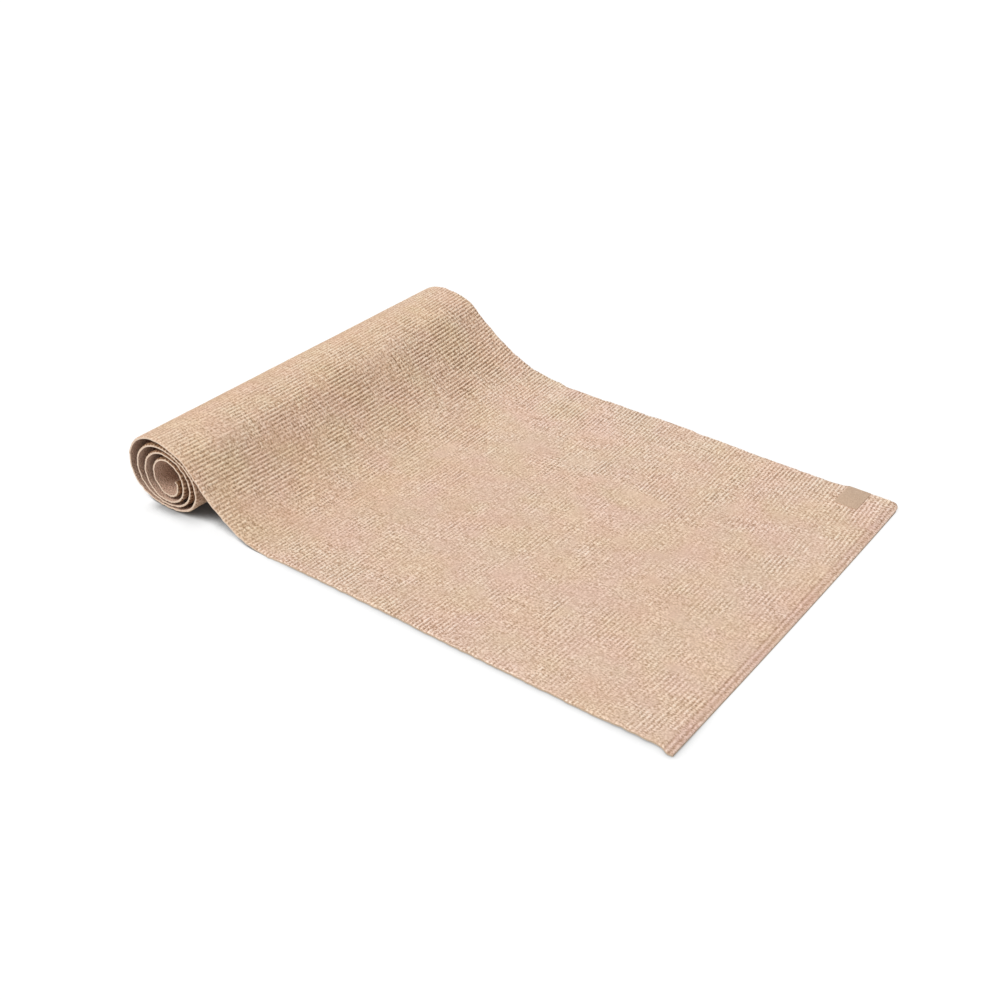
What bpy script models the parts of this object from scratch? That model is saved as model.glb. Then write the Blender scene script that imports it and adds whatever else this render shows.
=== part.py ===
"""Yoga mat, partly unrolled: two foam coats bonded to a woven scrim, with a label patch.

All lengths are in metres, +Z is up and the floor is z = 0. +X runs from the roll to the free
end, and +Y runs across the mat from its near long edge to its far one. The origin is under the
middle of the whole mat, on the floor.

The three sheets follow one centre line, from the innermost end of the roll out to the free end:
a squashed spiral, a ramp that comes down from the roll, and the stretch that lies flat. The
sheet's cut length stays as given, so a larger roll leaves a shorter flat stretch. The ribbed
side is the outside of the roll.
"""

import math

import bmesh
import bpy
from mathutils import Vector

# The sheet as it was cut
MAT_LENGTH = 1.735
MAT_WIDTH = 0.610

# Its layers, and the clearance between two bonded pieces
UPPER_COAT_THICKNESS = 0.0015
SCRIM_THICKNESS = 0.0004
LOWER_COAT_THICKNESS = 0.0015
BOND_GAP = 0.0003

# The roll. Its radius is measured from its axis to the sheet's centre line
CORE_RADIUS = 0.0215
TURN_GAP = 0.0053
ROLL_TURNS = 3.875
LEAVING_ANGLE = math.radians(60)

# How the roll is pressed flat, most of all in its outermost turn
SQUASH = 0.0106
SQUASH_ANGLE = math.radians(171)

# How the outermost turn sags away from the ramp
SAG = 0.0078
SAG_ANGLE = math.radians(152)

# The innermost end curls in
END_CURL = 0.0055
END_CURL_SPAN = math.radians(100)

# The ramp from the roll to where the sheet lies flat
LANDING_DISTANCE = 0.1785
RAMP_CREST_SHARE = 0.16
RAMP_FOOT_SHARE = 0.54

# The label on the far long edge
LABEL_LENGTH = 0.033
LABEL_WIDTH = 0.048
LABEL_THICKNESS = 0.0006
LABEL_CORNER_RADIUS = 0.0015
LABEL_FROM_FREE_END = 0.0425
LABEL_EDGE_INSET = 0.0005
ADHESIVE_THICKNESS = 0.0002
ADHESIVE_INSET = 0.0010

# How finely the shapes are divided
STEPS_PER_TURN = 44
RAMP_STEPS = 36
LABEL_CORNER_STEPS = 4
DRAWN_STEPS = 1200
SHARP_ANGLE = math.radians(40)
WELD_DISTANCE = 1e-6

# Worked out from the sizes above
MAT_THICKNESS = UPPER_COAT_THICKNESS + SCRIM_THICKNESS + LOWER_COAT_THICKNESS + 2 * BOND_GAP
HALF_THICKNESS = MAT_THICKNESS / 2
TURN_PITCH = MAT_THICKNESS + TURN_GAP


def clear_scene():
    """Removes the objects that a new file starts with."""
    for item in list(bpy.data.objects):
        bpy.data.objects.remove(item, do_unlink=True)


def make_material(name, colour, roughness, metallic=0.0):
    """A Principled material with one colour."""
    material = bpy.data.materials.new(name)
    material.use_nodes = True
    shader = material.node_tree.nodes["Principled BSDF"]
    shader.inputs["Base Color"].default_value = (*colour, 1.0)
    shader.inputs["Roughness"].default_value = roughness
    shader.inputs["Metallic"].default_value = metallic
    material.diffuse_color = (*colour, 1.0)
    return material


def roll_radius(share, angle):
    """The centre line's distance from the roll's axis.

    share is 0 at the innermost end and 1 where the sheet leaves the roll.
    """
    wound = CORE_RADIUS + share * ROLL_TURNS * TURN_PITCH
    squashed = SQUASH * share**2 * math.cos(2 * (angle - SQUASH_ANGLE))
    sagged = SAG * share * math.cos(angle - SAG_ANGLE)
    past_curl = share * ROLL_TURNS * math.tau / END_CURL_SPAN
    curled = END_CURL * max(0, 1 - past_curl) ** 1.5
    return wound + squashed + sagged - curled


def roll_point(share):
    """A point (x, z) of the spiral, about the roll's axis."""
    angle = LEAVING_ANGLE + (1 - share) * ROLL_TURNS * math.tau
    radius = roll_radius(share, angle)
    return Vector((radius * math.cos(angle), radius * math.sin(angle)))


def spiral_points(steps):
    """The spiral from its innermost end to where the sheet leaves it."""
    return [roll_point(step / steps) for step in range(steps + 1)]


def across(before, after):
    """The unit vector from the sheet's lower face to its upper one, between two points."""
    along = (after - before).normalized()
    return Vector((-along.y, along.x))


def resting_height():
    """The height of the roll's axis at which its ribbed outside just touches the floor."""
    line = spiral_points(DRAWN_STEPS)
    lows = []
    for before, after in zip(line, line[1:]):
        middle = (before + after) / 2
        lows.append((middle + across(before, after) * HALF_THICKNESS).y)
    return -min(lows)


def ramp_points(start, heading, steps):
    """A smooth curve from the roll down to the floor, without its first point."""
    foot = Vector((LANDING_DISTANCE, HALF_THICKNESS))
    reach = (foot - start).length
    crest_handle = start + heading * RAMP_CREST_SHARE * reach
    foot_handle = foot - Vector((RAMP_FOOT_SHARE * reach, 0))
    points = []
    for step in range(1, steps + 1):
        share = step / steps
        rest = 1 - share
        points.append(
            rest**3 * start
            + 3 * rest**2 * share * crest_handle
            + 3 * rest * share**2 * foot_handle
            + share**3 * foot
        )
    return points


def line_length(points):
    """The length of a line through the points."""
    return sum((after - before).length for before, after in zip(points, points[1:]))


def centre_line():
    """The sheet's centre line (x, z) from the roll's innermost end to the free end."""
    lift = Vector((0, resting_height()))
    roll = [point + lift for point in spiral_points(round(STEPS_PER_TURN * ROLL_TURNS))]
    heading = (roll_point(1) - roll_point(1 - 1 / DRAWN_STEPS)).normalized()
    wound = roll + ramp_points(roll[-1], heading, RAMP_STEPS)
    flat_length = MAT_LENGTH - line_length(wound)
    return wound + [wound[-1] + Vector((flat_length, 0))]


def face_directions(line):
    """The direction from the lower face to the upper one at each point of the line."""
    last = len(line) - 1
    directions = []
    for index in range(len(line)):
        directions.append(across(line[max(index - 1, 0)], line[min(index + 1, last)]))
    directions[-2] = Vector((0, 1))
    return directions


def middle_of_box(line, directions):
    """Half way along X between the two ends of the whole mat."""
    upper = [point + way * HALF_THICKNESS for point, way in zip(line, directions)]
    return (min(point.x for point in upper) + max(point.x for point in upper)) / 2


def mesh_object(name, shape, material):
    """An object from a finished bmesh, which it frees."""
    bmesh.ops.recalc_face_normals(shape, faces=shape.faces)
    mesh = bpy.data.meshes.new(name)
    shape.to_mesh(mesh)
    shape.free()
    mesh.materials.append(material)
    item = bpy.data.objects.new(name, mesh)
    bpy.context.scene.collection.objects.link(item)
    return item


def smooth_by_angle(item, limit):
    """Shades an object smooth, but for its edges sharper than the limit."""
    item.data.shade_smooth()
    item.data.set_sharp_from_angle(angle=limit)


def make_layer(name, line, directions, low, high, material):
    """One sheet of the laminate, between two heights above the mat's lower face.

    Its section is a strip of faces in the XZ plane, which is extruded across the mat.
    """
    shape = bmesh.new()
    rows = []
    for point, way in zip(line, directions):
        ends = [point + way * (height - HALF_THICKNESS) for height in (low, high)]
        rows.append([shape.verts.new((end.x, 0, end.y)) for end in ends])
    for row, after in zip(rows, rows[1:]):
        shape.faces.new((row[0], after[0], after[1], row[1]))
    made = bmesh.ops.extrude_face_region(shape, geom=shape.faces[:])
    moved = [part for part in made["geom"] if isinstance(part, bmesh.types.BMVert)]
    bmesh.ops.translate(shape, verts=moved, vec=(0, MAT_WIDTH, 0))
    layer = mesh_object(name, shape, material)
    smooth_by_angle(layer, SHARP_ANGLE)
    layer.location.y = -MAT_WIDTH / 2
    return layer


def make_plate(name, length, width, thickness, radius, material):
    """A thin plate with round corners, its lower face at z = 0 about its own middle."""
    shape = bmesh.new()
    made = bmesh.ops.create_cube(shape, size=1)
    bmesh.ops.scale(shape, verts=made["verts"], vec=(length, width, thickness))
    bmesh.ops.translate(shape, verts=made["verts"], vec=(0, 0, thickness / 2))
    upright = []
    for edge in shape.edges:
        start, end = edge.verts
        if abs(start.co.z - end.co.z) > thickness / 2:
            upright.append(edge)
    bmesh.ops.bevel(
        shape,
        geom=upright,
        offset=radius,
        segments=LABEL_CORNER_STEPS,
        profile=0.5,
        affect="EDGES",
        material=-1,
    )
    bmesh.ops.remove_doubles(shape, verts=shape.verts, dist=WELD_DISTANCE)
    return mesh_object(name, shape, material)


def make_sheets(line, directions):
    """The three bonded sheets, from the floor side to the exercise side."""
    foam = make_material("foamed_resin_coat", (0.66, 0.50, 0.36), 0.85)
    grip = make_material("foamed_resin_underside", (0.56, 0.42, 0.31), 0.90)
    yarn = make_material("woven_yarn", (0.72, 0.58, 0.42), 0.95)
    scrim_low = LOWER_COAT_THICKNESS + BOND_GAP
    scrim_high = scrim_low + SCRIM_THICKNESS
    upper_low = scrim_high + BOND_GAP
    return [
        make_layer("lower_coat", line, directions, 0, LOWER_COAT_THICKNESS, grip),
        make_layer("woven_scrim", line, directions, scrim_low, scrim_high, yarn),
        make_layer("upper_coat", line, directions, upper_low, MAT_THICKNESS, foam),
    ]


def make_label(free_end):
    """The patch and its adhesive, on the upper coat by the far long edge."""
    patch_material = make_material("calendered_label", (0.50, 0.38, 0.27), 0.60)
    film_material = make_material("adhesive_film", (0.78, 0.74, 0.66), 0.40)
    film_height = MAT_THICKNESS + BOND_GAP
    patch_height = film_height + ADHESIVE_THICKNESS + BOND_GAP
    x = free_end - LABEL_FROM_FREE_END - LABEL_LENGTH / 2
    y = MAT_WIDTH / 2 - LABEL_EDGE_INSET - LABEL_WIDTH / 2
    film = make_plate(
        "label_adhesive",
        LABEL_LENGTH - 2 * ADHESIVE_INSET,
        LABEL_WIDTH - 2 * ADHESIVE_INSET,
        ADHESIVE_THICKNESS,
        LABEL_CORNER_RADIUS,
        film_material,
    )
    patch = make_plate(
        "label_patch",
        LABEL_LENGTH,
        LABEL_WIDTH,
        LABEL_THICKNESS,
        LABEL_CORNER_RADIUS,
        patch_material,
    )
    film.location = (x, y, film_height)
    patch.location = (x, y, patch_height)
    return [film, patch]


def build():
    """The whole mat, with its pieces under one empty."""
    clear_scene()
    line = centre_line()
    directions = face_directions(line)
    shift = Vector((middle_of_box(line, directions), 0))
    line = [point - shift for point in line]
    mat = bpy.data.objects.new("yoga_mat", None)
    bpy.context.scene.collection.objects.link(mat)
    for piece in make_sheets(line, directions) + make_label(line[-1].x):
        piece.parent = mat


build()
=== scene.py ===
"""A yoga mat, partly unrolled: two foamed coats on a woven scrim, with a blank label patch.

Each sheet is first made flat, as it was cut, and then laid along the line of the photograph: a
pressed spiral, a ramp and the stretch on the floor. A place on a sheet is its run, the distance
from the roll's innermost end, its way across from the mat's middle, and its height above the
mat's lower face. All sizes are in metres unless their names say otherwise.
"""

import logging
import math
from dataclasses import dataclass, field
from enum import Enum

import bmesh
import bpy
import numpy as np
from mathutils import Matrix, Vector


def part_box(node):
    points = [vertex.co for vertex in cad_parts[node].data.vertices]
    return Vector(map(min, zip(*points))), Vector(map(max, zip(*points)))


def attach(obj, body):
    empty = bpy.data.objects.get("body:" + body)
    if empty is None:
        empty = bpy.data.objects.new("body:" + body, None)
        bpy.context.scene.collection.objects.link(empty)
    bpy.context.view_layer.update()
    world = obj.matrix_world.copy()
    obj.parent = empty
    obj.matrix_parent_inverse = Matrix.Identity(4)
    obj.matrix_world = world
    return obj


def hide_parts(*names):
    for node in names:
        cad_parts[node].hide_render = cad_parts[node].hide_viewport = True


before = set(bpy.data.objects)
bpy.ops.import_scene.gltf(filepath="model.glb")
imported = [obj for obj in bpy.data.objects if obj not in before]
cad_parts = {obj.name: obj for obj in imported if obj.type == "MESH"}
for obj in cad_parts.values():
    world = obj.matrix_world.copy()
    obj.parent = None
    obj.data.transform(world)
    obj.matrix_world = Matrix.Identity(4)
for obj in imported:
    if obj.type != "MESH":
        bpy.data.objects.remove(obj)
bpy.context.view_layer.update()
BODY = "root"
log = logging.getLogger("yoga_mat")

# The sheet as it was cut, and the heights of its layers
MAT_LENGTH = 1.735
MAT_WIDTH = 0.610
MAT_THICKNESS = 0.0040
LOWER_COAT_TOP = 0.0018
UPPER_COAT_FOOT = 0.0022
BOND_LINE = 0.00005
RIB_PITCH = 0.00535

# Names that meshes and materials share
PLACE = "sheet_place"
RELIEF = "relief"
VIGOUR = "vigour"
RIB = "rib"
BAKE_MAP = "OFBake"


class Side(Enum):
    """The faces of a slab of sheet, by the slot of the finish that they take."""

    UPPER = 0
    WALL = 1
    LOWER = 2


def linear(colour: str) -> tuple[float, float, float, float]:
    """Turns an sRGB colour to the linear one that shaders use.

    Args:
        colour: six hex digits, such as "E0C4A8".

    Returns:
        Red, green, blue and an alpha of 1.
    """
    parts = [int(colour[place : place + 2], 16) / 255 for place in (0, 2, 4)]
    light = [part / 12.92 if part <= 0.04045 else ((part + 0.055) / 1.055) ** 2.4 for part in parts]
    return (*light, 1.0)


def add_node(
    material: bpy.types.Material,
    kind: str,
    settings: dict | None = None,
    links: dict | None = None,
) -> bpy.types.Node:
    """Adds a node to a material, or to a world.

    Args:
        material: what holds the node tree.
        kind: the node's type.
        settings: values by name, of the node's own properties or of its inputs.
        links: output sockets by the name or number of the input that they feed.

    Returns:
        The new node.
    """
    node = material.node_tree.nodes.new(kind)
    for name, value in (settings or {}).items():
        if isinstance(name, str) and hasattr(node, name):
            setattr(node, name, value)
        else:
            node.inputs[name].default_value = value
    for name, output in (links or {}).items():
        material.node_tree.links.new(output, node.inputs[name])
    return node


def new_material(name: str, roughness: float, specular: float) -> tuple[bpy.types.Material, bpy.types.Node]:
    """An empty material with a Principled shader on its output.

    Args:
        name: the material's name.
        roughness: the shader's roughness.
        specular: the shader's specular level.

    Returns:
        The material and its shader.
    """
    material = bpy.data.materials.new(name)
    material.use_nodes = True
    material.node_tree.nodes.clear()
    settings = {"Roughness": roughness, "Specular IOR Level": specular}
    shader = add_node(material, "ShaderNodeBsdfPrincipled", settings)
    add_node(material, "ShaderNodeOutputMaterial", links={"Surface": shader.outputs[0]})
    return material, shader


def smooth_noise(seed: int, down: np.ndarray, along: np.ndarray) -> np.ndarray:
    """Random values from 0 to 1, one at each whole number, blended smoothly between them.

    Args:
        seed: picks the random table.
        down: places along the table's rows, in cells.
        along: places along its columns, in cells.

    Returns:
        A value for each pair of places.
    """
    side = 512
    table = np.random.default_rng(seed).random((side, side))
    row, column = np.floor(down).astype(int), np.floor(along).astype(int)
    part, share = down - row, along - column
    part, share = part * part * (3 - 2 * part), share * share * (3 - 2 * share)
    near = table[row % side, column % side] * (1 - share) + table[row % side, (column + 1) % side] * share
    row = row + 1
    far = table[row % side, column % side] * (1 - share) + table[row % side, (column + 1) % side] * share
    return near * (1 - part) + far * part


def distances(points: np.ndarray) -> np.ndarray:
    """The distance along a line to each of its points."""
    return np.concatenate([[0], np.cumsum(np.linalg.norm(np.diff(points, axis=0), axis=1))])


def facing(points: np.ndarray) -> np.ndarray:
    """The unit direction from the sheet's lower face to its upper one, at each point of a line."""
    along = np.gradient(points, axis=0)
    along /= np.linalg.norm(along, axis=1)[:, None]
    return np.stack([-along[:, 1], along[:, 0]], 1)


@dataclass(frozen=True)
class Profile:
    """The line that the sheet's middle follows, seen from one long edge.

    Angles are in degrees, and radii run from the roll's axis to the middle of the sheet.
    """

    core_radius: float = 0.0215
    turn_pitch: float = 0.0093
    turns: float = 3.875
    leaving_angle: float = 60
    squash: float = 0.0106
    squash_angle: float = 171
    sag: float = 0.0078
    sag_angle: float = 152
    end_curl: float = 0.0055
    end_curl_span: float = 100
    landing: float = 0.1785
    crest_share: float = 0.16
    foot_share: float = 0.54
    roll_steps: int = 4400
    ramp_steps: int = 900

    def spiral(self) -> np.ndarray:
        """The roll about its own axis, from its innermost end to where the sheet leaves it."""
        share = np.linspace(0, 1, self.roll_steps + 1)
        angle = math.radians(self.leaving_angle) + (1 - share) * self.turns * math.tau
        past_curl = share * self.turns * math.tau / math.radians(self.end_curl_span)
        radius = self.core_radius + share * self.turns * self.turn_pitch
        radius += self.squash * share**2 * np.cos(2 * (angle - math.radians(self.squash_angle)))
        radius += self.sag * share * np.cos(angle - math.radians(self.sag_angle))
        radius -= self.end_curl * np.maximum(0, 1 - past_curl) ** 1.5
        return np.stack([radius * np.cos(angle), radius * np.sin(angle)], 1)

    def ramp(self, start: np.ndarray, heading: np.ndarray) -> np.ndarray:
        """The curve from the roll down to the floor.

        Args:
            start: where the sheet leaves the roll.
            heading: the unit direction in which it leaves.

        Returns:
            The curve's points after its start.
        """
        foot = np.array([self.landing, MAT_THICKNESS / 2])
        reach = np.linalg.norm(foot - start)
        crest_handle = start + heading * self.crest_share * reach
        foot_handle = foot - np.array([self.foot_share * reach, 0])
        share = np.linspace(0, 1, self.ramp_steps + 1)[1:, None]
        rest = 1 - share
        bend = 3 * rest**2 * share * crest_handle + 3 * rest * share**2 * foot_handle
        return rest**3 * start + bend + share**3 * foot

    def line(self, free_end: float) -> tuple[np.ndarray, np.ndarray, np.ndarray]:
        """The whole line, with its free end at a given X.

        Args:
            free_end: X of the mat's free end.

        Returns:
            The distance along the sheet, the points and the directions to the upper face.
        """
        roll = self.spiral()
        roll[:, 1] -= (roll + facing(roll) * MAT_THICKNESS / 2)[:, 1].min()
        heading = roll[-1] - roll[-2]
        wound = np.concatenate([roll, self.ramp(roll[-1], heading / np.linalg.norm(heading))])
        flat_length = MAT_LENGTH - distances(wound)[-1]
        steps = np.linspace(0, flat_length, self.ramp_steps)[1:, None]
        points = np.concatenate([wound, wound[-1] + steps * np.array([1, 0])])
        points[:, 0] += free_end - points[-1, 0]
        return distances(points), points, facing(points)


@dataclass(frozen=True)
class Ripple:
    """A soft bulge along an edge: its middle, half its level part, its slopes' length, its size."""

    run: float
    level: float
    slope: float
    size: float

    def at(self, run: np.ndarray) -> np.ndarray:
        """The bulge's size at each run."""
        share = np.clip((self.level + self.slope - np.abs(run - self.run)) / self.slope, 0, 1)
        return self.size * share * share * (3 - 2 * share)


@dataclass
class LaidSheet:
    """How the mat lies: the profiles at its two long edges, and how use left its edges."""

    near: Profile = Profile()
    far: Profile = Profile(
        squash=0.0104, squash_angle=180.4, sag=0.0073, landing=0.2171, crest_share=0.164, foot_share=0.586
    )
    near_bulges: tuple[Ripple, ...] = (
        Ripple(1.130, 0.020, 0.035, 0.0016),
        Ripple(1.290, 0.080, 0.045, -0.0011),
        Ripple(1.690, 0.022, 0.018, -0.0014),
        Ripple(1.737, 0.006, 0.014, 0.0036),
    )
    near_lifts: tuple[Ripple, ...] = (Ripple(1.682, 0.020, 0.024, 0.0008),)
    far_bulges: tuple[Ripple, ...] = (
        Ripple(1.165, 0.015, 0.020, 0.0026),
        Ripple(1.230, 0.030, 0.020, -0.0020),
        Ripple(1.385, 0.020, 0.025, 0.0024),
        Ripple(1.570, 0.060, 0.020, -0.0012),
        Ripple(1.705, 0.042, 0.014, 0.0024),
    )
    far_lifts: tuple[Ripple, ...] = (
        Ripple(1.080, 0.020, 0.060, 0.0040),
        Ripple(1.705, 0.038, 0.024, 0.0017),
    )
    end_bow: float = 0.0018
    edge_fade: float = 0.070
    corner_radius: float = 0.0130
    nibble: float = 0.0006
    nibble_depth: float = 0.0040
    pinch_above: float = 0.0012
    pinch_below: float = 0.0002
    pinch_width: float = 0.0024
    far_pinch: float = 0.3
    telescope: float = 0.0020
    telescope_run: float = 0.31
    loose_run: float = 0.90
    free_end: float = field(init=False)
    lines: list = field(init=False)

    def __post_init__(self) -> None:
        """Works out both edges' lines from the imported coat's free end."""
        self.free_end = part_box("upper_coat")[1].x
        self.lines = [profile.line(self.free_end) for profile in (self.near, self.far)]

    def rounded(self, run: np.ndarray, across: np.ndarray) -> tuple[np.ndarray, np.ndarray]:
        """Draws the far corner of the free end in to an arc.

        Args:
            run: distances along the sheet.
            across: places across it.

        Returns:
            The same places, with the square corner turned to a quarter of a disc.
        """
        size = self.corner_radius
        along = np.clip(1 - (MAT_LENGTH - run) / size, 0, 1)
        aside = np.clip(1 - (MAT_WIDTH / 2 - across) / size, 0, 1)
        run = run + size * along * (np.sqrt(1 - aside**2 / 2) - 1)
        across = across + size * aside * (np.sqrt(1 - along**2 / 2) - 1)
        return run, across

    def pinched(self, run: np.ndarray, across: np.ndarray, height: np.ndarray) -> np.ndarray:
        """Thins the sheet towards its cut edges, as a die leaves it.

        Args:
            run: distances along the sheet.
            across: places across it.
            height: heights above the mat's lower face.

        Returns:
            The heights, drawn in from both faces at the edges.
        """
        inward = np.minimum(MAT_WIDTH / 2 + across, np.minimum(run, MAT_LENGTH - run))
        share = np.clip(1 - inward / self.pinch_width, 0, 1) ** 2
        far_share = np.clip(1 - (MAT_WIDTH / 2 - across) / self.pinch_width, 0, 1) ** 2
        share = np.maximum(share, self.far_pinch * far_share)
        low = self.pinch_below * share
        high = MAT_THICKNESS - self.pinch_above * share
        return low + (high - low) * height / MAT_THICKNESS

    def place(self, run: np.ndarray, across: np.ndarray, height: np.ndarray) -> np.ndarray:
        """Lays places of the flat sheet along the mat's line.

        Args:
            run: distances along the sheet from its innermost end.
            across: places across it from its middle.
            height: heights above the mat's lower face.

        Returns:
            The points in space, one to a row.
        """
        run, across = self.rounded(run, across)
        share = 0.5 + across / MAT_WIDTH
        points = np.zeros((len(run), 3))
        for weight, (distance, line, faces) in zip((1 - share, share), self.lines):
            x, z = (np.interp(run, distance, line[:, side]) for side in (0, 1))
            face_x, face_z = (np.interp(run, distance, faces[:, side]) for side in (0, 1))
            points[:, 0] += weight * (x + face_x * (height - MAT_THICKNESS / 2))
            points[:, 2] += weight * (z + face_z * (height - MAT_THICKNESS / 2))
        points[:, 1] = across
        edges = ((-1, self.near_bulges, self.near_lifts), (1, self.far_bulges, self.far_lifts))
        for way, bulges, lifts in edges:
            inward = MAT_WIDTH / 2 - way * across
            fade = np.clip(1 - inward / self.edge_fade, 0, 1) ** 2
            rim = np.clip(1 - inward / self.nibble_depth, 0, 1)
            bitten = self.nibble * (2 * smooth_noise(5 + way, run / RIB_PITCH, 0 * run) - 1)
            points[:, 1] += way * (sum(bulge.at(run) for bulge in bulges) * fade + rim * bitten)
            points[:, 2] += sum(lift.at(run) for lift in lifts) * fade
        ended = np.clip(1 - (MAT_LENGTH - run) / self.edge_fade, 0, 1) ** 2
        points[:, 0] += self.end_bow * ended * (1 - (2 * across / MAT_WIDTH) ** 2)
        loose = np.clip(1 - run / self.loose_run, 0, 1)
        points[:, 1] += self.telescope * loose * np.sin(run * math.tau / self.telescope_run)
        return points


@dataclass(frozen=True)
class LabelPlace:
    """Where the label patch lies on the flat sheet."""

    length: float = 0.033
    width: float = 0.0465
    from_free_end: float = 0.0425
    edge_inset: float = 0.0005

    def middle(self) -> tuple[float, float]:
        """Its middle's run and place across."""
        run = MAT_LENGTH - self.from_free_end - self.length / 2
        return run, MAT_WIDTH / 2 - self.edge_inset - self.width / 2


@dataclass(frozen=True)
class RibRelief:
    """The face pressed into the upper coat: cross ribs, broken to beads like a coarse weave."""

    pitch: float = RIB_PITCH
    depth: float = 0.00110
    crest_power: float = 1.4
    skew: float = 0.0125
    bow: float = 0.080
    wander: float = 0.0022
    wander_size: tuple[float, float] = (0.120, 0.090)
    weft_pitch: float = 0.0062
    weft_drift: float = 2.5
    weft_share: float = 0.55
    least_strength: float = 0.40
    bead_cell: float = 0.0062
    even_rows: int = 9
    even_columns: int = 4
    worn_from: float = 1.08
    worn_fully: float = 1.16
    worn_skew: float = 0.03
    rim_wear: float = 0.115
    middle_wear: float = 0.33
    near_wear: float = 0.10
    end_wear: float = 0.17
    end_wear_from: float = 1.36
    end_wear_fully: float = 1.58
    far_gain: float = 0.25
    crown: tuple[float, ...] = (0.64, 0.72, 0.82, 0.87, 0.90, 0.93, 0.96, 1.00, 1.05, 1.09)
    crown_vigour: tuple[float, ...] = (1.80, 1.10, 1.00, 0.33, 0.41, 0.64, 0.88, 1.07, 1.05, 1.00)
    crown_lift: tuple[float, ...] = (0.00, 0.08, 0.10, -0.10, -0.04, 0.10, 0.12, 0.13, 0.11, 0.10)
    side_lift: float = 0.037
    side_lift_until: float = 1.40
    patches: tuple[tuple[float, float], ...] = ((0.018, 0.9), (0.045, 0.6))
    least_uneven: float = 0.6
    uneven_lift: float = 0.18
    calm_size: float = 0.026
    hem_width: float = 0.0145
    hem_groove_pitch: float = 0.0075
    hem_groove_from_end: float = 0.0050
    label_level: float = 0.50
    slub_count: int = 520
    seed: int = 11

    def rows(self, fine_from: float, coarse: int, fine: int) -> np.ndarray:
        """Runs of the mesh's rows, a whole number to each rib.

        Args:
            fine_from: the run past which the ribs show, and have more rows.
            coarse: rows to a rib before it.
            fine: rows to a rib past it.

        Returns:
            The runs, from 0 to the sheet's length.
        """
        ribs = math.floor(MAT_LENGTH / self.pitch)
        first = round(fine_from / self.pitch)
        hidden = np.arange(0, first * coarse) * self.pitch / coarse
        shown = (first + np.arange(0, (ribs - first) * fine + 1) / fine) * self.pitch
        rest = np.linspace(shown[-1], MAT_LENGTH, fine)[1:]
        return np.concatenate([hidden, shown, rest])

    def columns(self, count: int) -> np.ndarray:
        """Places across of the mesh's columns, closer together by the rims."""
        rim = np.array([0, 0.0005, 0.0012])
        even = np.linspace(0.0024, MAT_WIDTH - 0.0024, count + 1 - 2 * len(rim))
        return np.concatenate([rim, even, MAT_WIDTH - rim[::-1]]) - MAT_WIDTH / 2

    def fields(self, run: np.ndarray, across: np.ndarray) -> tuple[np.ndarray, np.ndarray]:
        """How far the face stands up, and how crisply it is pressed.

        Args:
            run: distances along the sheet.
            across: places across it.

        Returns:
            Levels from 0 in the deepest furrow to 1 on the highest bead, and vigours from 0 in
            a smooth patch to 1, each with a row for each run.
        """
        down, aside = np.meshgrid(run, across, indexing="ij")
        rib = self.rib_place(down, aside)
        number = np.floor(rib + 1e-6)
        crest = (0.5 - 0.5 * np.cos(math.tau * (rib - number))) ** self.crest_power
        drift = self.weft_drift * smooth_noise(self.seed, number / 8, aside / 0.060)
        weft = 0.5 + 0.5 * np.cos(math.tau * (aside / self.weft_pitch + drift))
        woven = np.clip(1.8 * smooth_noise(self.seed + 1, number / 5, aside / 0.035) - 0.4, 0, 1)
        strength = smooth_noise(self.seed + 2, number, aside / self.bead_cell)
        strength = self.least_strength + (1 - self.least_strength) * strength
        level = crest * strength * (1 - self.weft_share * woven * (1 - weft))
        level += 0.30 * (1 - crest) * woven * weft
        level += self.slubs(run, across) * (0.35 + 0.65 * crest)
        calm = smooth_noise(self.seed + 3, down / self.calm_size, aside / self.calm_size)
        crispness = self.crispness(down, aside)
        rubbed = np.clip(3.0 * calm - 2.1, 0, 0.75) * np.clip(2.5 * (1 - crispness), 0.2, 1)
        uneven = self.unevenness(down, aside, 1 - crispness)
        vigour = (1 - rubbed) * crispness * uneven
        kept = np.clip((self.worn_fully - down) / (self.worn_fully - self.worn_from), 0, 1)
        gain = 1 + self.far_gain * kept * 2 * aside / MAT_WIDTH
        vigour = vigour * np.interp(down, self.crown, self.crown_vigour) * gain
        # A crisper patch keeps more shade in its furrows, and is pressed higher to look as pale
        lift = np.interp(down, self.crown, self.crown_lift) + self.uneven_lift * (uneven - 1)
        lift = lift * crispness**2
        tilt = np.clip((self.side_lift_until - down) / 0.3, 0, 1) * 2 * aside / MAT_WIDTH
        lift = lift + self.side_lift * tilt
        level = 0.5 + lift + (level - self.broad_mean(level)) * vigour**1.5
        level, vigour = self.pressed(down, aside, level, vigour**0.7)
        return np.clip(level, 0, 1), vigour

    def rib_place(self, down: np.ndarray, aside: np.ndarray) -> np.ndarray:
        """Counts the ribs, which bow across the mat and wander a little.

        Args:
            down: the run of each place.
            aside: the way across of each place.

        Returns:
            The number of its rib, and the part of a rib past that one's edge.
        """
        long, wide = self.wander_size
        strayed = self.wander * (smooth_noise(self.seed + 8, down / long, aside / wide) - 0.5)
        return (down + self.skew * aside + self.bow * aside**2 + strayed) / self.pitch

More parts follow.
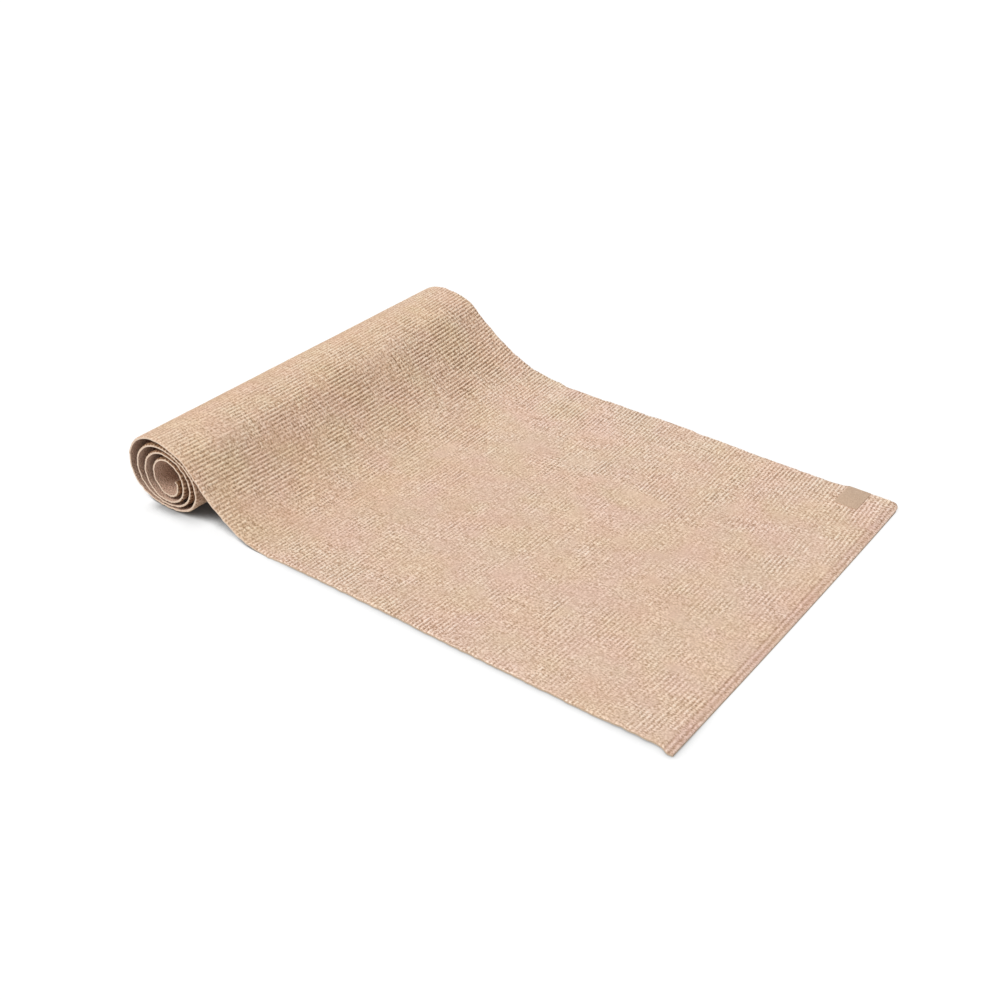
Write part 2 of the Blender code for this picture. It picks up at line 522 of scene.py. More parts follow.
    def crispness(self, down: np.ndarray, aside: np.ndarray) -> np.ndarray:
        """How much of the pattern use has left: all of it on the roll, least by the mat's middle.

        Args:
            down: the run of each place.
            aside: the way across of each place.

        Returns:
            The share that is left.
        """
        share = 2 * aside / MAT_WIDTH
        past = down - self.worn_from - self.worn_skew * share
        worn = np.clip(past / (self.worn_fully - self.worn_from), 0, 1)
        ended = np.clip((down - self.end_wear_from) / (self.end_wear_fully - self.end_wear_from), 0, 1)
        left = 1 - worn * (self.rim_wear + self.middle_wear * (1 - share**2) - self.near_wear * share)
        return left * (1 - self.end_wear * ended * np.clip(1 - 0.9 * share, 0, 2))

    def unevenness(self, down: np.ndarray, aside: np.ndarray, wear: np.ndarray) -> np.ndarray:
        """How unevenly use has worn the pattern: patches as wide as a thumb and as a palm.

        Args:
            down: the run of each place.
            aside: the way across of each place.
            wear: how worn it is there.

        Returns:
            What to multiply the vigour by, about 1.
        """
        total = np.ones_like(down)
        for turn, (size, most) in enumerate(self.patches):
            patch = smooth_noise(self.seed + 5 + turn, down / size, aside / size) - 0.5
            total = total * (1 + most * np.clip(wear / self.middle_wear, self.least_uneven, 1) * patch)
        return total

    def broad_mean(self, level: np.ndarray) -> np.ndarray:
        """The mean of the levels about each place, over a few ribs.

        Args:
            level: the levels.

        Returns:
            Their means, which change slowly.
        """
        for reach in (self.even_rows, self.even_columns):
            sums = np.cumsum(np.pad(level, ((reach + 1, reach), (0, 0)), mode="edge"), axis=0)
            level = ((sums[2 * reach + 1 :] - sums[: -2 * reach - 1]) / (2 * reach + 1)).T
        return level

    def pressed(
        self, down: np.ndarray, aside: np.ndarray, level: np.ndarray, vigour: np.ndarray
    ) -> tuple[np.ndarray, np.ndarray]:
        """Presses the hem's grooves and the label's bed into the ribs.

        Args:
            down: the run of each place.
            aside: the way across of each place.
            level: how far the face stands up there.
            vigour: how crisply it is pressed there.

        Returns:
            The new levels and vigours.
        """
        to_end = MAT_LENGTH - down
        hem = np.clip((self.hem_width - to_end) / (self.pitch / 3), 0, 1)
        groove = 0.5 - 0.5 * np.cos(math.tau * (to_end - self.hem_groove_from_end) / self.hem_groove_pitch)
        level = level * (1 - 0.6 * hem) + 0.6 * hem * (0.20 + 0.50 * groove)
        label = LabelPlace()
        run, across = label.middle()
        inside = np.minimum(label.length / 2 - np.abs(down - run), label.width / 2 - np.abs(aside - across))
        bed = np.clip(1 + inside / 0.0010, 0, 1)
        return level * (1 - bed) + self.label_level * bed, vigour * (1 - bed)

    def slubs(self, run: np.ndarray, across: np.ndarray) -> np.ndarray:
        """Thick and thin threads that run along the mat for a hand's breadth or less.

        Args:
            run: distances along the sheet.
            across: places across it.

        Returns:
            How far they raise or lower the face.
        """
        chance = np.random.default_rng(self.seed + 4)
        total = np.zeros((len(run), len(across)))
        for _ in range(self.slub_count):
            middle, half = chance.uniform(0, MAT_LENGTH), chance.uniform(0.008, 0.030)
            aside, width = chance.uniform(-0.5, 0.5) * MAT_WIDTH, chance.uniform(0.0013, 0.0024)
            size = chance.uniform(0.20, 0.55) * chance.choice([-1, 1, 1])
            rows = np.flatnonzero(np.abs(run - middle) < half)
            columns = np.flatnonzero(np.abs(across - aside) < 3 * width)
            fade = np.cos((run[rows] - middle) / half * math.pi / 2) ** 0.5
            spread = np.exp(-(((across[columns] - aside) / width) ** 2))
            total[np.ix_(rows, columns)] += size * fade[:, None] * spread[None, :]
        return total


@dataclass
class Slab:
    """A closed slab of sheet, meshed flat and then laid along the mat's line.

    Its upper and lower faces share their rows, and each has its own number of columns.
    """

    name: str
    low: float
    high: float
    runs: np.ndarray
    upper_columns: int
    lower_columns: int
    shown: Side = Side.LOWER
    relief: RibRelief | None = None

    def flat(self) -> bmesh.types.BMesh:
        """The slab as one unit along x, y and z, closed, with its finish slots set."""
        shape = bmesh.new()
        rows = len(self.runs) - 1
        for columns, z, side in (
            (self.upper_columns, 1, Side.UPPER),
            (self.lower_columns, 0, Side.LOWER),
        ):
            before = len(shape.faces)
            made = bmesh.ops.create_grid(shape, x_segments=rows, y_segments=columns, size=0.5)
            bmesh.ops.translate(shape, verts=made["verts"], vec=(0.5, 0.5, z))
            shape.faces.ensure_lookup_table()
            for face in shape.faces[before:]:
                face.material_index = side.value
        self.close(shape)
        bmesh.ops.recalc_face_normals(shape, faces=shape.faces)
        return shape

    def close(self, shape: bmesh.types.BMesh) -> None:
        """Bridges the edges of the upper and lower faces, one side of the sheet at a time."""
        rim = [edge for edge in shape.edges if edge.is_boundary]
        for axis in (0, 1):
            for limit in (0.0, 1.0):
                edges = []
                for edge in rim:
                    if all(abs(vert.co[axis] - limit) < 1e-5 for vert in edge.verts):
                        edges.append(edge)
                made = bmesh.ops.bridge_loops(shape, edges=edges)
                for face in made["faces"]:
                    face.material_index = Side.WALL.value

    def build(self, laid: LaidSheet) -> bpy.types.Object:
        """Meshes the slab and lays it.

        Args:
            laid: how the mat lies.

        Returns:
            The object, at the origin, with its place on the sheet kept in an attribute.
        """
        shape = self.flat()
        mesh = bpy.data.meshes.new(self.name)
        shape.to_mesh(mesh)
        shape.free()
        unit = np.empty(len(mesh.vertices) * 3)
        mesh.vertices.foreach_get("co", unit)
        unit = unit.reshape(-1, 3)
        row = np.rint(unit[:, 0] * (len(self.runs) - 1)).astype(int)
        run, across = self.runs[row], (unit[:, 1] - 0.5) * MAT_WIDTH
        upper = unit[:, 2] > 0.5
        height = np.where(upper, self.high, self.low)
        level, vigour, rib = np.ones(len(unit)), np.ones(len(unit)), run / RIB_PITCH
        if self.relief:
            column = np.rint(unit[:, 1] * self.upper_columns).astype(int)
            acrosses = self.relief.columns(self.upper_columns)
            across = np.where(upper, acrosses[column], across)
            levels, vigours = self.relief.fields(self.runs, acrosses)
            level[upper] = levels[row[upper], column[upper]]
            vigour[upper] = vigours[row[upper], column[upper]]
            height = height - np.where(upper, (1 - level) * self.relief.depth, 0)
            rib = self.relief.rib_place(run, across)
        points = laid.place(run, across, laid.pinched(run, across, height))
        mesh.vertices.foreach_set("co", points.ravel())
        keep_attribute(mesh, PLACE, np.stack([run, across, height], 1))
        keep_attribute(mesh, RELIEF, level)
        keep_attribute(mesh, VIGOUR, vigour)
        keep_attribute(mesh, RIB, rib)
        self.unfold(mesh, unit)
        mesh.update()
        mesh.shade_smooth()
        mesh.set_sharp_from_angle(angle=math.radians(55))
        return link_object(self.name, mesh)

    def unfold(self, mesh: bpy.types.Mesh, unit: np.ndarray) -> None:
        """Spreads the faces over a square for baking.

        The face that shows is cut in two halves, side by side, and takes most of the square. The
        other face and the four walls stand as narrow bands beside it.

        Args:
            mesh: the slab's mesh.
            unit: its vertices as one unit along x, y and z.
        """
        corners, counts, sides = (
            np.empty(len(parts), int) for parts in (mesh.loops, mesh.polygons, mesh.polygons)
        )
        mesh.loops.foreach_get("vertex_index", corners)
        mesh.polygons.foreach_get("loop_total", counts)
        mesh.polygons.foreach_get("material_index", sides)
        x, y, z = unit[corners].T
        starts = np.concatenate([[0], np.cumsum(counts)[:-1]])
        middle = np.repeat(np.add.reduceat(unit[corners], starts) / counts[:, None], counts, axis=0)
        side = np.repeat(sides, counts)
        second = middle[:, 0] > 0.5
        shown, wall = side == self.shown.value, side == Side.WALL.value
        across_wall = np.abs(middle[:, 1] - 0.5) < 0.4999
        place = 0.952 + 0.024 * across_wall + 0.012 * (np.where(across_wall, middle[:, 0], middle[:, 1]) > 0.5)
        u = np.where(shown, 0.435 * second + 0.430 * y, np.where(wall, place + 0.010 * z, 0.870 + 0.078 * y))
        v = np.where(shown, 2 * x - second, np.where(wall & across_wall, y, x))
        v = 0.002 + 0.996 * np.clip(v, 0, 1)
        mesh.uv_layers.new(name=BAKE_MAP).data.foreach_set("uv", np.stack([u, v], 1).ravel())


def keep_attribute(mesh: bpy.types.Mesh, name: str, values: np.ndarray) -> None:
    """Stores one value, or one vector, for each vertex.

    Args:
        mesh: the mesh that keeps them.
        name: the attribute's name.
        values: the values, in the order of the vertices.
    """
    kind, key = ("FLOAT", "value") if values.ndim == 1 else ("FLOAT_VECTOR", "vector")
    mesh.attributes.new(name, kind, "POINT").data.foreach_set(key, values.ravel())


def link_object(name: str, mesh: bpy.types.Mesh) -> bpy.types.Object:
    """Puts a mesh in the scene, as an object at the origin."""
    item = bpy.data.objects.new(name, mesh)
    bpy.context.scene.collection.objects.link(item)
    return item


@dataclass(frozen=True)
class RibbedFoam:
    """PVC foam pressed by a textured roller. The eye sees ribs with paler crests, partly rubbed and
    partly a painted highlight, darker furrows of painted shade, and beads.

    Wear, painted light and painted shade change it slowly along the mat: rosy, mossy and straw
    patches and a greyer hem, which are its own colour, a warmer roll and ramp of painted bounce light,
    a cooler crown and roll of painted sheen and darker inner turns of painted shade.
    """

    # The ramp runs from painted shade in the furrows at its low end to the crests' pale tone, partly a painted
    # highlight
    tones: tuple[tuple[float, str], ...] = (
        (0.00, "9E7F66"),
        (0.28, "C4A389"),
        (0.50, "DDBFA9"),
        (0.74, "F5DAC4"),
        (1.00, "FFECDA"),
    )
    blush: str = "FFFAFE"
    moss: str = "FAFFFB"
    straw: str = "FFFDF4"
    # The foam's own pores are too fine to show, so its beads are drawn 1.8 mm long
    bead_length: float = 0.0018
    bead_height: float = 0.0006
    beads_per_rib: float = 1.6
    rib_height: float = 0.00060
    patch_size: float = 0.070
    relief_shade_share: float = 1.00
    bead_share: float = 0.88
    roughness: float = 0.86
    specular: float = 0.15
    sheen: float = 0.04
    hem_tint: str = "FAF7FB"
    hem: tuple[float, float] = (1.7205, 1.7235)
    # A warmer tint over the roll and ramp: painted light, bounced from the mat itself
    ramp_bounce_tint: str = "FFFCF4"
    ramp: tuple[float, float] = (1.22, 1.05)
    # A cooler tint from the roll's crown inwards: a painted sheen
    crown_sheen_tint: str = "FBFDFF"
    crown: tuple[float, float] = (0.96, 0.89)
    # A darker tint over the inner turns: painted shade between the turns
    inner_shade_tint: str = "BDAC9C"
    inner: tuple[float, float] = (0.74, 0.62)
    sheen_tint: str = "F4E0CC"

    def make(self) -> bpy.types.Material:
        """The material, whose patterns follow the sheet's own places."""
        material, shader = new_material("pressed_pvc_foam_ribbed", self.roughness, self.specular)
        shader.inputs["Sheen Weight"].default_value = self.sheen
        shader.inputs["Sheen Tint"].default_value = linear(self.sheen_tint)
        place = add_node(material, "ShaderNodeAttribute", {"attribute_name": PLACE}).outputs["Vector"]
        level = add_node(material, "ShaderNodeAttribute", {"attribute_name": RELIEF}).outputs["Fac"]
        vigour = add_node(material, "ShaderNodeAttribute", {"attribute_name": VIGOUR}).outputs["Fac"]
        beads = self.beads(material, place)
        centred = add_node(material, "ShaderNodeMath", {"operation": "SUBTRACT", 1: 0.5}, {0: beads})
        lively = add_node(
            material, "ShaderNodeMath", {"operation": "MULTIPLY"}, {0: centred.outputs[0], 1: vigour}
        )
        # The relief level paints shade into the furrows and a highlight onto the crests
        relief_tone_and_shade = add_node(
            material,
            "ShaderNodeMath",
            {"operation": "MULTIPLY_ADD", 1: self.relief_shade_share, 2: (1 - self.relief_shade_share) / 2},
            {0: level},
        )
        tone = add_node(
            material,
            "ShaderNodeMath",
            {"operation": "MULTIPLY_ADD", 1: self.bead_share},
            {0: lively.outputs[0], 2: relief_tone_and_shade.outputs[0]},
        )
        ramp = add_node(material, "ShaderNodeValToRGB", None, {0: tone.outputs[0]})
        stops = ramp.color_ramp.elements
        for index, (position, colour) in enumerate(self.tones):
            stop = stops[index] if index < 2 else stops.new(position)
            stop.position, stop.color = position, linear(colour)
        tinted = self.tinted(material, place, ramp.outputs[0])
        material.node_tree.links.new(tinted, shader.inputs["Base Color"])
        share = self.rib_height / self.bead_height
        height = add_node(
            material,
            "ShaderNodeMath",
            {"operation": "MULTIPLY_ADD", 1: share},
            {0: level, 2: lively.outputs[0]},
        )
        bump = add_node(
            material,
            "ShaderNodeBump",
            {"Strength": 1.0, "Distance": self.bead_height},
            {"Height": height.outputs[0]},
        )
        material.node_tree.links.new(bump.outputs[0], shader.inputs["Normal"])
        return material

    def beads(self, material: bpy.types.Material, place: bpy.types.NodeSocket) -> bpy.types.NodeSocket:
        """Short beads, drawn anew on each rib.

        Args:
            material: the material that gets the nodes.
            place: the sheet's own places.

        Returns:
            A value about 0.5.
        """
        split = add_node(material, "ShaderNodeSeparateXYZ", None, {0: place})
        rib = add_node(material, "ShaderNodeAttribute", {"attribute_name": RIB}).outputs["Fac"]
        number = add_node(material, "ShaderNodeMath", {"operation": "FLOOR"}, {0: rib})
        apart = add_node(
            material, "ShaderNodeMath", {"operation": "MULTIPLY", 1: 7.31}, {0: number.outputs[0]}
        )
        along = add_node(
            material, "ShaderNodeMath", {"operation": "DIVIDE", 1: self.bead_length}, {0: split.outputs[1]}
        )
        within = add_node(
            material, "ShaderNodeMath", {"operation": "MULTIPLY", 1: self.beads_per_rib}, {0: rib}
        )
        joined = add_node(
            material,
            "ShaderNodeCombineXYZ",
            None,
            {0: apart.outputs[0], 1: along.outputs[0], 2: within.outputs[0]},
        )
        noise = add_node(
            material, "ShaderNodeTexNoise", {"Scale": 1.0, "Detail": 1.0, "Roughness": 0.5}, {0: joined.outputs[0]}
        )
        firm = add_node(
            material,
            "ShaderNodeMapRange",
            {"From Min": 0.31, "From Max": 0.69},
            {"Value": noise.outputs["Fac"]},
        )
        return firm.outputs["Result"]

    def tinted(
        self, material: bpy.types.Material, place: bpy.types.NodeSocket, colour: bpy.types.NodeSocket
    ) -> bpy.types.NodeSocket:
        """Lays faint rosy, mossy and straw patches over a colour, then the hem's own grey, the painted bounce
        light of the roll and ramp, the painted sheen of the crown and the painted shade of the inner turns.

        Args:
            material: the material that gets the nodes.
            place: the sheet's own places.
            colour: the colour beneath.

        Returns:
            The tinted colour.
        """
        for turn, (tint, low, high, most) in enumerate(
            ((self.blush, 0.42, 0.60, 0.9), (self.moss, 0.44, 0.62, 0.5), (self.straw, 0.42, 0.60, 0.6))
        ):
            moved = add_node(
                material, "ShaderNodeVectorMath", {"operation": "ADD", 1: (3.7 * turn, 1.3, 0.0)}, {0: place}
            )
            patch = add_node(
                material,
                "ShaderNodeTexNoise",
                {"Scale": 1 / self.patch_size, "Detail": 3.0},
                {0: moved.outputs[0]},
            )
            share = add_node(
                material,
                "ShaderNodeMapRange",
                {"From Min": low, "From Max": high, "To Max": most},
                {"Value": patch.outputs["Fac"]},
            )
            mixed = add_node(
                material,
                "ShaderNodeMix",
                {"data_type": "RGBA", "blend_type": "MULTIPLY"},
                {0: share.outputs[0], 6: colour},
            )
            mixed.inputs[7].default_value = linear(tint)
            colour = mixed.outputs[2]
        split = add_node(material, "ShaderNodeSeparateXYZ", None, {0: place})
        tints = (
            (self.hem_tint, self.hem),
            (self.ramp_bounce_tint, self.ramp),
            (self.crown_sheen_tint, self.crown),
            (self.inner_shade_tint, self.inner),
        )
        for tint, (start, end) in tints:
            share = add_node(
                material, "ShaderNodeMapRange", {"From Min": start, "From Max": end}, {"Value": split.outputs[0]}
            )
            mixed = add_node(
                material,
                "ShaderNodeMix",
                {"data_type": "RGBA", "blend_type": "MULTIPLY"},
                {0: share.outputs[0], 6: colour},
            )
            mixed.inputs[7].default_value = linear(tint)
            colour = mixed.outputs[2]
        return colour


@dataclass(frozen=True)
class PlainFoam:
    """PVC foam with a fine grain: cast for the underside, or cut through at the edges."""

    name: str
    high: str
    low: str
    grain: float
    bump: float
    roughness: float = 0.9
    specular: float = 0.3
    # Painted shade, which the colour takes from the first run on, wholly past the second
    floor_shade_tint: str = "FFFFFF"
    floor_shade_runs: tuple[float, float] = (1.10, 1.20)

    def make(self) -> bpy.types.Material:
        """The material, mottled by its grain."""
        material, shader = new_material(self.name, self.roughness, self.specular)
        place = add_node(material, "ShaderNodeAttribute", {"attribute_name": PLACE}).outputs["Vector"]
        grain = add_node(
            material,
            "ShaderNodeTexNoise",
            {"Scale": 1 / self.grain, "Detail": 3.0, "Roughness": 0.6},
            {"Vector": place},
        ).outputs["Fac"]
        share = add_node(
            material, "ShaderNodeMapRange", {"From Min": 0.35, "From Max": 0.65}, {"Value": grain}
        ).outputs["Result"]
        tone = add_node(material, "ShaderNodeMix", {"data_type": "RGBA"}, {0: share})
        tone.inputs[6].default_value = linear(self.low)
        tone.inputs[7].default_value = linear(self.high)
        split = add_node(material, "ShaderNodeSeparateXYZ", None, {0: place})
        # The cut walls where the mat lies on the floor take painted shade
        start, end = self.floor_shade_runs
        laid = add_node(
            material, "ShaderNodeMapRange", {"From Min": start, "From Max": end}, {"Value": split.outputs[0]}
        )
        floor_shaded = add_node(
            material,
            "ShaderNodeMix",
            {"data_type": "RGBA", "blend_type": "MULTIPLY"},
            {0: laid.outputs[0], 6: tone.outputs[2]},
        )
        floor_shaded.inputs[7].default_value = linear(self.floor_shade_tint)
        material.node_tree.links.new(floor_shaded.outputs[2], shader.inputs["Base Color"])
        bump = add_node(
            material, "ShaderNodeBump", {"Strength": 0.6, "Distance": self.bump}, {"Height": grain}
        )
        material.node_tree.links.new(bump.outputs[0], shader.inputs["Normal"])
        return material


@dataclass
class Sheets:
    """The laminate: the ribbed coat, the woven scrim and the floor-side coat."""

    laid: LaidSheet
    relief: RibRelief = RibRelief()
    rib_columns: int = 244
    plain_columns: int = 40
    hidden_columns: int = 12
    plain_rows: int = 620
    shown_from: float = 0.86
    hidden_rows_per_rib: int = 4
    shown_rows_per_rib: int = 6

    def build(self) -> list[bpy.types.Object]:
        """Returns:
            The upper coat, the scrim and the lower coat.
        """
        rib_rows = self.relief.rows(self.shown_from, self.hidden_rows_per_rib, self.shown_rows_per_rib)
        plain_rows = np.linspace(0, MAT_LENGTH, self.plain_rows + 1)
        scrim_low, scrim_high = LOWER_COAT_TOP + BOND_LINE, UPPER_COAT_FOOT - BOND_LINE
        columns = self.plain_columns
        upper = Slab(
            "upper_coat_foam",
            UPPER_COAT_FOOT,
            MAT_THICKNESS,
            rib_rows,
            self.rib_columns,
            self.hidden_columns,
            Side.UPPER,
            self.relief,
        ).build(self.laid)
        scrim = Slab("scrim_weave", scrim_low, scrim_high, plain_rows, columns, columns).build(self.laid)
        lower = Slab(
            "lower_coat_foam", 0, LOWER_COAT_TOP, plain_rows, self.hidden_columns, columns
        ).build(self.laid)
        self.dress(upper, scrim, lower)
        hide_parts("upper_coat")
        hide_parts("woven_scrim")
        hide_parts("lower_coat")
        return [upper, scrim, lower]

    def dress(self, upper: bpy.types.Object, scrim: bpy.types.Object, lower: bpy.types.Object) -> None:
        """Gives each sheet the finishes of its upper face, its cut walls and its lower face."""
        # Foam cut by a die gives the eye a pale, dry line, greyer with painted shade
        # where it lies on the floor.
        # Its pores are drawn 0.9 mm wide, coarser than real ones, so that they show
        cut = PlainFoam("cut_pvc_foam", "F5E0CC", "DABEA5", 0.0009, 0.0002, floor_shade_tint="D6D3CC").make()
        # Foam cast against a belt is dull and darker, with pebbles drawn 1.8 mm wide so that they show
        grip = PlainFoam("cast_pvc_foam_underside", "F2D2BB", "8E6B56", 0.0018, 0.0009).make()
        # Woven yarn is a thin matt straw line between the coats, mottled at its thread spacing of 1 mm
        yarn = PlainFoam("woven_polyester_yarn", "D8BC9C", "B39676", 0.0010, 0.0002, 0.95).make()
        ribbed = RibbedFoam().make()
        finishes = ((upper, (ribbed, cut, cut)), (scrim, (yarn, yarn, yarn)), (lower, (cut, cut, grip)))
        for item, slots in finishes:
            for finish in slots:
                item.data.materials.append(finish)


@dataclass
class Label:
    """The blank patch that is glued on by the far long edge, and its film of glue."""

    laid: LaidSheet
    where: LabelPlace = LabelPlace()
    thickness: float = 0.0005
    film_thickness: float = 0.00015
    bed: float = 0.00350
    film_inset: float = 0.0010
    corner_radius: float = 0.0015
    rim: float = 0.00018

    def plate(self, name: str, inset: float, low: float, thickness: float, rim: float) -> bpy.types.Object:
        """A thin plate with round corners and a soft upper rim, laid on the mat.

        Args:
            name: the object's name.
            inset: how far its sides stand in from the label's.
            low: the height of its lower face.
            thickness: its thickness.
            rim: the size of the upper rim's bevel.

        Returns:
            The object.
        """
        shape = bmesh.new()
        made = bmesh.ops.create_cube(shape, size=1)
        size = (self.where.length - 2 * inset, self.where.width - 2 * inset, thickness)
        bmesh.ops.scale(shape, verts=made["verts"], vec=size)
        upright = [edge for edge in shape.edges if abs(edge.verts[0].co.z - edge.verts[1].co.z) > thickness / 2]
        self.soften(shape, upright, self.corner_radius, 5)
        top = [edge for edge in shape.edges if all(vert.co.z > thickness / 3 for vert in edge.verts)]
        outer = [edge for edge in top if any(abs(face.normal.z) < 0.5 for face in edge.link_faces)]
        self.soften(shape, outer, rim, 3)
        bmesh.ops.recalc_face_normals(shape, faces=shape.faces)
        mesh = bpy.data.meshes.new(name)
        shape.to_mesh(mesh)
        shape.free()
        points = np.empty(len(mesh.vertices) * 3)
        mesh.vertices.foreach_get("co", points)
        points = points.reshape(-1, 3)
        run, across = self.where.middle()
        places = points + np.array([run, across, low + thickness / 2])
        run, across, height = places.T
        height = self.laid.pinched(run, across, height)
        mesh.vertices.foreach_set("co", self.laid.place(run, across, height).ravel())
        keep_attribute(mesh, PLACE, places)
        mesh.update()
        mesh.shade_smooth()
        mesh.set_sharp_from_angle(angle=math.radians(40))
        return link_object(name, mesh)

    def soften(self, shape: bmesh.types.BMesh, edges: list, size: float, segments: int) -> None:
        """Bevels edges to a round."""
        bmesh.ops.bevel(
            shape, geom=edges, offset=size, segments=segments, profile=0.5, affect="EDGES", material=-1
        )

    def build(self) -> list[bpy.types.Object]:
        """Returns:
            The patch and the film.
        """
        patch_low = self.bed + self.film_thickness + BOND_LINE
        patch = self.plate("label_sheet", 0, patch_low, self.thickness, self.rim)
        film = self.plate(
            "label_film", self.film_inset, self.bed, self.film_thickness, self.film_thickness / 4
        )
        # PVC rolled between calenders is even and a little silky. Its grain is drawn 1.6 mm wide to show
        smooth = PlainFoam("calendered_pvc_label", "D2B59B", "B89B82", 0.0016, 0.00015, 0.55, 0.45)
        # Glue cast as a film is a smooth, pale yellow line beneath the patch
        glue = PlainFoam("cast_adhesive_film", "D9D0BC", "CFC4AE", 0.0020, 0.00005, 0.4, 0.5)
        patch.data.materials.append(smooth.make())
        film.data.materials.append(glue.make())
        for item, node in ((patch, "label_patch"), (film, "label_adhesive")):
            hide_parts(node)
        return [patch, film]


@dataclass(frozen=True)
class FloorZone:
    """A part of the floor with painted shadow greys of its own, by how open a spot there is to the sky.

    Each fade is an axis, the place where the zone starts along it and the place where it is whole.
    """

    tones: tuple[tuple[float, float], ...]
    fades: tuple[tuple[int, float, float], tuple[int, float, float]]


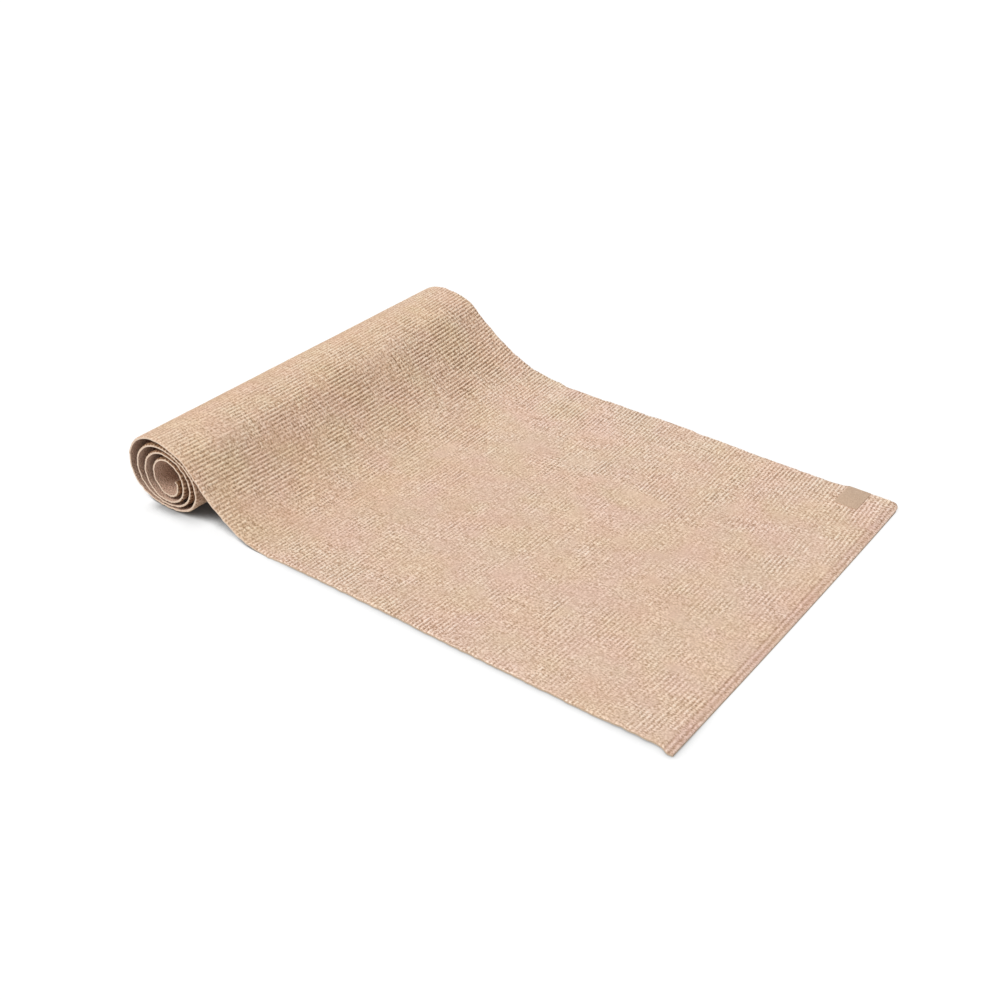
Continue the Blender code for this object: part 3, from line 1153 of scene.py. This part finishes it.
@dataclass
class Studio:
    """The white floor, the soft lights and the camera of the photograph."""

    camera_place: tuple[float, float, float] = (0.87997, -1.32478, 1.01582)
    camera_turn: tuple[float, float, float] = (57.3552, -1.9766, 35.7674)
    lens_mm: float = 50.761
    floor_side: float = 40.0
    floor_drop: float = 0.0003
    floor_colour: str = "F6F7F9"
    floor_share: float = 0.15
    contact_reach: float = 0.07
    contact_samples: int = 16
    contact_tones: tuple[tuple[float, float], ...] = (
        (0.20, 0.00),
        (0.29, 0.10),
        (0.36, 0.45),
        (0.43, 0.82),
        (0.52, 0.87),
        (0.75, 0.87),
        (0.92, 0.88),
        (1.00, 0.91),
    )
    zones: tuple[FloorZone, ...] = (
        FloorZone(
            (
                (0.50, 0.35),
                (0.72, 0.60),
                (0.83, 0.67),
                (0.90, 0.72),
                (0.95, 0.79),
                (0.98, 0.85),
                (1.00, 0.91),
            ),
            ((0, -0.19, -0.13), (1, -0.20, -0.28)),
        ),
        FloorZone(
            (
                (0.15, 0.01),
                (0.30, 0.11),
                (0.45, 0.22),
                (0.55, 0.27),
                (0.60, 0.39),
                (0.65, 0.58),
                (0.70, 0.76),
                (0.75, 0.86),
                (1.00, 0.91),
            ),
            ((0, -0.275, -0.330), (0, -0.376, -0.356)),
        ),
    )
    sky: float = 0.50
    key_strength: float = 1.91
    key_from: tuple[float, float, float] = (-0.35, -0.60, 1.0)
    key_spread: float = 32.0

    def build(self) -> None:
        """Builds the whole studio."""
        self.build_floor()
        self.build_sky()
        self.build_key()
        self.build_camera()

    def build_floor(self) -> None:
        """A white floor that keeps the mat's shadow and runs to white for the eye."""
        shape = bmesh.new()
        bmesh.ops.create_grid(shape, x_segments=1, y_segments=1, size=self.floor_side / 2)
        bmesh.ops.translate(shape, verts=shape.verts, vec=(0, 0, -self.floor_drop))
        mesh = bpy.data.meshes.new("floor")
        shape.to_mesh(mesh)
        shape.free()
        # Coated paper looks flat white. For the eye it darkens only where the mat keeps the sky from it,
        # mostly by a painted shadow: a glow whose grey follows that openness, darker in two zones by place,
        # and a small share of the paper's own lit shade
        material = bpy.data.materials.new("white_paper_floor")
        material.use_nodes = True
        material.node_tree.nodes.clear()
        paper = add_node(material, "ShaderNodeBsdfDiffuse", {"Color": linear(self.floor_colour)})
        seen_paper = add_node(
            material,
            "ShaderNodeBsdfDiffuse",
            {"Color": (self.floor_share, self.floor_share, self.floor_share, 1)},
        )
        openness = add_node(
            material,
            "ShaderNodeAmbientOcclusion",
            {"samples": self.contact_samples, "Distance": self.contact_reach},
        ).outputs["AO"]
        spot = add_node(material, "ShaderNodeNewGeometry").outputs["Position"]
        split = add_node(material, "ShaderNodeSeparateXYZ", None, {0: spot})
        tone = self.ramp(material, openness, self.contact_tones)
        for zone in self.zones:
            fades = {}
            for index, (axis, start, whole) in enumerate(zone.fades):
                settings = {"From Min": start, "From Max": whole}
                fade = add_node(material, "ShaderNodeMapRange", settings, {"Value": split.outputs[axis]})
                fades[index] = fade.outputs[0]
            share = add_node(material, "ShaderNodeMath", {"operation": "MULTIPLY"}, fades)
            greys = {0: share.outputs[0], 6: tone, 7: self.ramp(material, openness, zone.tones)}
            tone = add_node(material, "ShaderNodeMix", {"data_type": "RGBA"}, greys).outputs[2]
        glow = add_node(material, "ShaderNodeEmission", None, {"Color": tone})
        lit = add_node(material, "ShaderNodeAddShader", None, {0: seen_paper.outputs[0], 1: glow.outputs[0]})
        seen = add_node(material, "ShaderNodeLightPath").outputs["Is Camera Ray"]
        both = add_node(
            material, "ShaderNodeMixShader", None, {0: seen, 1: paper.outputs[0], 2: lit.outputs[0]}
        )
        add_node(material, "ShaderNodeOutputMaterial", None, {"Surface": both.outputs[0]})
        mesh.materials.append(material)
        link_object("floor", mesh)

    def ramp(
        self, material: bpy.types.Material, value: bpy.types.NodeSocket, tones: tuple[tuple[float, float], ...]
    ) -> bpy.types.NodeSocket:
        """Turns a value to a grey.

        Args:
            material: the material that gets the node.
            value: what is turned.
            tones: pairs of a value and its grey.

        Returns:
            The grey.
        """
        node = add_node(material, "ShaderNodeValToRGB", None, {0: value})
        stops = node.color_ramp.elements
        for index, (position, tone) in enumerate(tones):
            stop = stops[index] if index < 2 else stops.new(position)
            stop.position, stop.color = position, (tone, tone, tone, 1)
        return node.outputs[0]

    def build_sky(self) -> None:
        """A white sky all round, which the eye and mirrors see at full white."""
        world = bpy.data.worlds.new("studio")
        world.use_nodes = True
        world.node_tree.nodes.clear()
        path = add_node(world, "ShaderNodeLightPath")
        direct = add_node(
            world,
            "ShaderNodeMath",
            {"operation": "MAXIMUM"},
            {0: path.outputs["Is Camera Ray"], 1: path.outputs["Is Glossy Ray"]},
        )
        strength = add_node(
            world, "ShaderNodeMapRange", {"To Min": self.sky, "To Max": 1.0}, {"Value": direct.outputs[0]}
        )
        sky = add_node(world, "ShaderNodeBackground", None, {"Strength": strength.outputs[0]})
        sky.inputs["Color"].default_value = (1, 1, 1, 1)
        add_node(world, "ShaderNodeOutputWorld", None, {"Surface": sky.outputs[0]})
        bpy.context.scene.world = world

    def build_key(self) -> None:
        """A broad soft lamp, high up before the roll's near end."""
        data = bpy.data.lights.new("key", "SUN")
        data.energy = self.key_strength
        data.angle = math.radians(self.key_spread)
        lamp = bpy.data.objects.new("key", data)
        bpy.context.scene.collection.objects.link(lamp)
        x, y, z = self.key_from
        lamp.rotation_euler = (math.atan2(math.hypot(x, y), z), 0, math.atan2(x, -y))

    def build_camera(self) -> None:
        """The camera at the photograph's viewpoint, solved from the mat's straight edges."""
        data = bpy.data.cameras.new("camera")
        data.lens = self.lens_mm
        data.sensor_width = 36.0
        camera = bpy.data.objects.new("camera", data)
        bpy.context.scene.collection.objects.link(camera)
        camera.location = self.camera_place
        camera.rotation_euler = tuple(math.radians(angle) for angle in self.camera_turn)
        bpy.context.scene.camera = camera


def main() -> None:
    """Builds the mat and its studio, and logs each piece."""
    logging.basicConfig(level=logging.INFO, format="%(name)s: %(message)s")
    bpy.context.scene.view_settings.view_transform = "Standard"
    laid = LaidSheet()
    for piece in Sheets(laid).build() + Label(laid).build():
        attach(piece, BODY)
        log.info("%s: %d faces", piece.name, len(piece.data.polygons))
    Studio().build()


if __name__ == "__main__":
    main()
